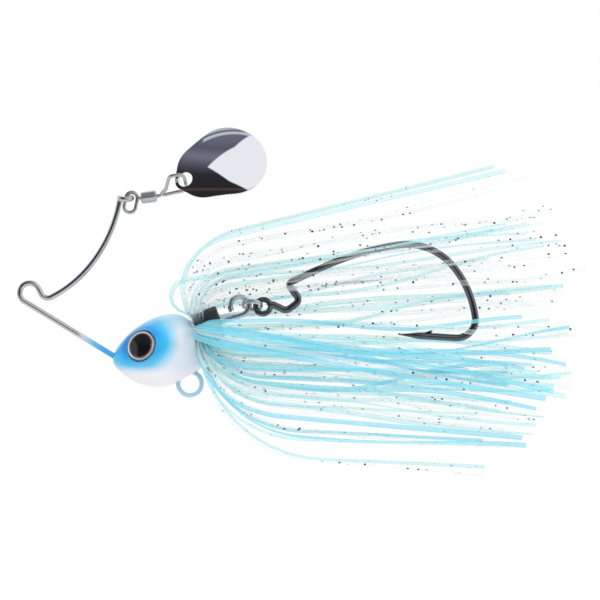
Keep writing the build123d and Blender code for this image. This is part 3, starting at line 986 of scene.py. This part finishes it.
# rows at a smaller angle than these belong to the upper half, and to the ridge on top of it
UPPER_HALF_TO = 88
RIDGE_TO = 50
UPPER_TINTS = [CYAN, CLEAR, CLEAR, CYAN, CLEAR]
LOWER_TINTS = [CYAN, BLUE, CLEAR, CYAN, CLEAR]
# how far the strands of each layer sway, in millimetres
SWAYS = [0.08, 0.6, 0.9, 0.95, 1.0]
# layer by layer, how far the tips of the blue band and of the strands beside it stray down
BAND = 4
BAND_STRAYS = [-11.5, -10.2, -8.8, -7.4, -2.0]
BAND_BESIDE_STRAYS = [-14.6, -12.7, -10.9, -9.7, -2.6]
BAND_TINTS = [BLUE, BLUE, CYAN, BLUE, CLEAR]
# the strands that spring forward over the head
LOOP_AZIMUTHS = [-16, 12]
LOOP_LAYER = 5


def in_band(side, row):
    """The last near row is the blue band."""
    return side < 0 and row == BAND


def before_hook(side, azimuth, layer):
    """The near upper half lies in front of the hook, apart from the ridge of the outer layer."""
    return side < 0 and azimuth < UPPER_HALF_TO and (layer > 0 or azimuth > RIDGE_TO)


def tint_of(side, row, layer, beside):
    """The silicone of a strand, or of the one beside it where beside is 1."""
    azimuth = ROWS[side][row]
    if in_band(side, row):
        return BAND_TINTS[layer - beside]
    if before_hook(side, azimuth, layer) and not beside:
        return THIN
    tints = UPPER_TINTS if azimuth < UPPER_HALF_TO else LOWER_TINTS
    return tints[(row * 3 + layer * 2 + beside) % len(tints)]


# %% Strands of a row
def add_row_strand(bm, side, row, layer):
    """A strand of the frame, or of the blue band."""
    wave, stray = math.sin(2.4 * row + 1.7 * layer + side), 0.0
    if in_band(side, row):
        wave, stray = -1.0, BAND_STRAYS[layer]
    path, across = strand_path(ROWS[side][row], side, layer, wave, stray)
    phase = 1.9 * row + 2.7 * layer + 1.3 * side
    tint = tint_of(side, row, layer, 0)
    add_strand(bm, path, across, STRAND_WIDTH, phase, SWAYS[layer], 0.0, tint)


def add_beside_strand(bm, side, row, layer):
    """The thinner strand beside it. The two outer layers stay inside the frame's outline."""
    azimuth = BESIDE[side][row]
    wave = math.sin(5.1 * row + 2.3 * layer + 2 * side)
    stray = 4.2 * math.sin(3.7 * row + 1.3 * layer + side)
    bow = -0.4 * stray
    if layer == 0:
        wave = -abs(wave)
    if layer < 2:
        stray = -abs(stray) if azimuth < UPPER_HALF_TO else abs(stray)
        bow = 0.0
    if in_band(side, row):
        wave, stray, bow = -1.0, BAND_BESIDE_STRAYS[layer], 0.0
    shorter = 6.0 * (1 + math.sin(4.3 * row + 2.9 * layer + side))
    path, across = strand_path(azimuth, side, layer, wave, stray, shorter)
    phase = 1.9 * row + 2.7 * layer + 1.3 * side + 2.1
    tint = tint_of(side, row, layer, 1)
    add_strand(bm, path, across, BESIDE_WIDTH, phase, SWAYS[layer], bow, tint)


# %% The eight tabs of the skirt
strand_count = 0
for tab_name, side, rows, layers in TABS:
    bm = bmesh.new()
    bm.verts.layers.float.new("density_and_edge_shade")
    for layer in layers:
        for row in rows:
            add_row_strand(bm, side, row, layer)
            strand_count += 1
            if in_band(side, row) or not before_hook(side, BESIDE[side][row], layer):
                add_beside_strand(bm, side, row, layer)
                strand_count += 1
    if tab_name == "near_upper_outer":
        for azimuth in LOOP_AZIMUTHS:
            path, across = strand_path(
                azimuth, side, LOOP_LAYER, wave=0.03 * azimuth, stray=-3.0, shorter=9.0
            )
            add_strand(bm, path, across, LOOP_WIDTH, 0.1 * azimuth, sway=0.3, bow=0.0, tint=CYAN)
            strand_count += 1
    tab = f"skirt_{tab_name}_tab"
    write_piece(bm, f"strands_{tab_name}", "lure", SILICONES, [tab], sharp_above=50)
print(strand_count, "strands")

# %% [markdown]
# ## Studio
# The lure hangs in front of a white wall over a pale round floor, whose rim melts into the wall.
# Large soft lamps light it evenly. What the metal shows is the room, so a room is painted for
# reflections alone: dark below with a thin brown line, grey above, two bright strips overhead, a
# white wall behind, pale cloth low down and far to the left, and a white panel whose corner makes
# the bright wedge on the blade. Cards round the lure would do it too, but they would be in the way
# of other views.

# %% Floor
FLOOR_RADIUS = 135
FLOOR_CENTRE = Vector((45, 0, -75))


def looking_rays(tree):
    """The Light Path node, and a socket that is 1 for rays that look, straight or through resin."""
    rays = node(tree, "ShaderNodeLightPath")
    looking = node(
        tree,
        "ShaderNodeMath",
        {"operation": "MAXIMUM"},
        {0: rays.outputs["Is Camera Ray"], 1: rays.outputs["Is Transmission Ray"]},
    )
    return rays, looking.outputs[0]


white_paper, tree, output = new_material("white paper")
rays, looking = looking_rays(tree)
looking_or_glossy = node(
    tree,
    "ShaderNodeMath",
    {"operation": "MAXIMUM"},
    {0: looking, 1: rays.outputs["Is Glossy Ray"]},
)
place = node(tree, "ShaderNodeTexCoord")
from_middle = node(
    tree,
    "ShaderNodeVectorMath",
    {"operation": "DISTANCE"},
    {0: place.outputs["Object"], 1: FLOOR_CENTRE * MM},
)
glow_share = node(
    tree,
    "ShaderNodeMapRange",
    {"interpolation_type": "SMOOTHSTEP"},
    {
        "Value": from_middle.outputs["Value"],
        "From Min": 0.6 * FLOOR_RADIUS * MM,
        "From Max": 0.97 * FLOOR_RADIUS * MM,
        "To Min": 0.93,
        "To Max": 1.0,
    },
)
paper = node(tree, "ShaderNodeBsdfDiffuse", links={"Color": colour("f4f4f4")})
glow = node(tree, "ShaderNodeEmission", links={"Color": colour("ffffff"), "Strength": 1.0})
glowing = node(
    tree,
    "ShaderNodeMath",
    {"operation": "MULTIPLY"},
    {0: looking_or_glossy.outputs[0], 1: glow_share.outputs["Result"]},
)
mixed = node(
    tree,
    "ShaderNodeMixShader",
    links={0: glowing.outputs[0], 1: paper.outputs[0], 2: glow.outputs[0]},
)
tree.links.new(mixed.outputs[0], output.inputs["Surface"])

bm = bmesh.new()
bmesh.ops.create_circle(bm, cap_ends=True, segments=96, radius=FLOOR_RADIUS * MM)
bmesh.ops.translate(bm, vec=FLOOR_CENTRE * MM, verts=bm.verts[:])
floor_mesh = bpy.data.meshes.new("floor")
bm.to_mesh(floor_mesh)
bm.free()
floor_mesh.materials.append(white_paper)
floor = bpy.data.objects.new("floor", floor_mesh)
bpy.context.scene.collection.objects.link(floor)
print("floor", 2 * FLOOR_RADIUS, "mm across")

# %% Room
PLAIN_LIGHT = 0.74

world = bpy.data.worlds.new("studio")
bpy.context.scene.world = world
world.use_nodes = True
tree = world.node_tree
tree.nodes.clear()
output = node(tree, "ShaderNodeOutputWorld")
rays, looking = looking_rays(tree)
direction = node(tree, "ShaderNodeTexCoord").outputs["Generated"]
axes = node(tree, "ShaderNodeSeparateXYZ", links={"Vector": direction})

height = node(
    tree,
    "ShaderNodeMapRange",
    links={"Value": axes.outputs["Z"], "From Min": -0.2, "From Max": 1.0},
)
grey_room = node(tree, "ShaderNodeValToRGB", links={"Fac": height.outputs["Result"]})
set_ramp(
    grey_room,
    [
        (0.0, "5c4444"),
        (0.12, "2b2b2e"),
        (0.21, "2f2a2b"),
        (0.25, "514540"),
        (0.28, "2c2a2c"),
        (0.5, "2f2f34"),
        (0.59, "4a4853"),
        (0.67, "62626e"),
        (0.76, "7b7d8a"),
        (0.87, "5f616f"),
        (1.0, "777987"),
    ],
)

# %% Strips overhead
# the strips run across the room: how far a direction lies to one side of the first strip
STRIPS_FACE = (-0.409, 0.898, 0.166)

strip_side = node(
    tree,
    "ShaderNodeVectorMath",
    {"operation": "DOT_PRODUCT"},
    {0: direction, 1: STRIPS_FACE},
)
strip_place = node(
    tree,
    "ShaderNodeMapRange",
    links={"Value": strip_side.outputs["Value"], "From Min": -0.06, "From Max": 0.24},
)
strips = node(tree, "ShaderNodeValToRGB", links={"Fac": strip_place.outputs["Result"]})
set_ramp(
    strips,
    [
        (0.0, "5f616f"),
        (0.1, "c9cbd6"),
        (0.27, "cfd1dc"),
        (0.36, "6a6c7a"),
        (0.46, "70727f"),
        (0.53, "bdbfca"),
        (0.73, "c2c4cf"),
        (0.87, "85878f"),
    ],
)
strip_start = node(
    tree,
    "ShaderNodeMapRange",
    links={"Value": strip_side.outputs["Value"], "From Min": -0.06, "From Max": -0.04},
)
strip_end = node(
    tree,
    "ShaderNodeMapRange",
    links={"Value": axes.outputs["X"], "From Min": -0.3, "From Max": -0.25},
)
strip_mask = node(
    tree,
    "ShaderNodeMath",
    {"operation": "MULTIPLY"},
    {0: strip_start.outputs["Result"], 1: strip_end.outputs["Result"]},
)
with_strips = node(
    tree,
    "ShaderNodeMix",
    {"data_type": "RGBA"},
    {0: strip_mask.outputs[0], 6: grey_room.outputs["Color"], 7: strips.outputs["Color"]},
)

# %% Wall and cloth
wall = node(
    tree,
    "ShaderNodeMapRange",
    links={"Value": axes.outputs["Y"], "From Min": 0.16, "From Max": 0.34},
)
with_wall = node(
    tree,
    "ShaderNodeMix",
    {"data_type": "RGBA"},
    {0: wall.outputs["Result"], 6: with_strips.outputs[2], 7: colour("ffffff")},
)

# pale cloth low down and far to the left gives the wires their bright side
below = node(
    tree,
    "ShaderNodeMapRange",
    links={"Value": axes.outputs["Z"], "From Min": -0.1, "From Max": -0.22},
)
left = node(
    tree,
    "ShaderNodeMapRange",
    links={"Value": axes.outputs["X"], "From Min": -0.8, "From Max": -0.88},
)
cloth = node(
    tree,
    "ShaderNodeMath",
    {"operation": "MAXIMUM"},
    {0: below.outputs["Result"], 1: left.outputs["Result"]},
)
with_cloth = node(
    tree,
    "ShaderNodeMix",
    {"data_type": "RGBA"},
    {0: cloth.outputs[0], 6: with_wall.outputs[2], 7: colour("e4e5e8")},
)

# %% White panel
# its upper side is bent inwards, so a direction has to lie inside one of two edges there, and its
# lower side is bent outwards, so a direction has to lie inside both
UPPER_EDGES = [(0.704, -0.517, -0.488), (0.870, -0.271, -0.413)]
LOWER_EDGES = [(0.561, 0.347, 0.752), (0.319, 0.328, 0.889)]
EDGE_SOFTNESS = 0.012


def inside_edges(edges, joined_by):
    """How far a direction lies inside two edges of the panel, from 0 to 1."""
    sides = []
    for edge in edges:
        side_of_edge = node(
            tree,
            "ShaderNodeVectorMath",
            {"operation": "DOT_PRODUCT"},
            {0: direction, 1: edge},
        )
        inside = node(
            tree,
            "ShaderNodeMapRange",
            links={
                "Value": side_of_edge.outputs["Value"],
                "From Min": -EDGE_SOFTNESS,
                "From Max": EDGE_SOFTNESS,
            },
        )
        sides.append(inside.outputs["Result"])
    joined = node(
        tree,
        "ShaderNodeMath",
        {"operation": joined_by},
        {0: sides[0], 1: sides[1]},
    )
    return joined.outputs[0]


panel = node(
    tree,
    "ShaderNodeMath",
    {"operation": "MULTIPLY"},
    {0: inside_edges(UPPER_EDGES, "MAXIMUM"), 1: inside_edges(LOWER_EDGES, "MULTIPLY")},
)
with_panel = node(
    tree,
    "ShaderNodeMix",
    {"data_type": "RGBA"},
    {0: panel.outputs[0], 6: with_cloth.outputs[2], 7: colour("ffffff")},
)

# %% What each ray sees of the room
plain = node(
    tree,
    "ShaderNodeBackground",
    links={"Color": colour("ffffff"), "Strength": PLAIN_LIGHT},
)
white = node(tree, "ShaderNodeBackground", links={"Color": colour("ffffff"), "Strength": 1.0})
room = node(tree, "ShaderNodeBackground", links={"Color": with_panel.outputs[2], "Strength": 1.0})
lit_or_reflected = node(
    tree,
    "ShaderNodeMixShader",
    links={0: rays.outputs["Is Glossy Ray"], 1: plain.outputs[0], 2: room.outputs[0]},
)
whole = node(
    tree,
    "ShaderNodeMixShader",
    links={0: looking, 1: lit_or_reflected.outputs[0], 2: white.outputs[0]},
)
tree.links.new(whole.outputs[0], output.inputs["Surface"])
print("room of", len(tree.nodes), "nodes, plain light", PLAIN_LIGHT)

# %% [markdown]
# The three large lamps only light the colours. Their square shapes would show in the blade, so
# glossy rays pass them by.

# %% Lamps


def soft_lamp(name, place_mm, aim_mm, size_mm, watts):
    """A square soft lamp that points at a spot."""
    light = bpy.data.lights.new(name, "AREA")
    light.size = size_mm * MM
    light.energy = watts
    lamp = bpy.data.objects.new(name, light)
    bpy.context.scene.collection.objects.link(lamp)
    lamp.location = Vector(place_mm) * MM
    lamp.rotation_euler = (Vector(aim_mm) - Vector(place_mm)).to_track_quat("-Z", "Y").to_euler()
    lamp.visible_glossy = False
    print(name, watts, "W")


soft_lamp("key lamp", (-150, -260, 300), (40, 0, -4), 260, 0.7)
soft_lamp("fill lamp", (260, -300, 60), (40, 0, -4), 300, 0.3)
soft_lamp("back lamp", (60, 300, 160), (45, 0, -4), 300, 0.4)

# %% [markdown]
# The camera stands level with the lure and looks square at its side. A long lens lets it stand
# back, so that near and far strands come out at nearly the same size.

# %% Camera
CAMERA_PLACE = Vector((43.6, -268.8, -1.13))

camera_data = bpy.data.cameras.new("camera")
camera_data.lens = 100
camera_data.sensor_width = 36
camera = bpy.data.objects.new("camera", camera_data)
bpy.context.scene.collection.objects.link(camera)
camera.location = CAMERA_PLACE * MM
camera.rotation_euler = (math.pi / 2, 0, 0)
bpy.context.scene.camera = camera
bpy.context.scene.view_settings.view_transform = "Standard"
print("camera", round(-CAMERA_PLACE.y), "mm in front of the wire")
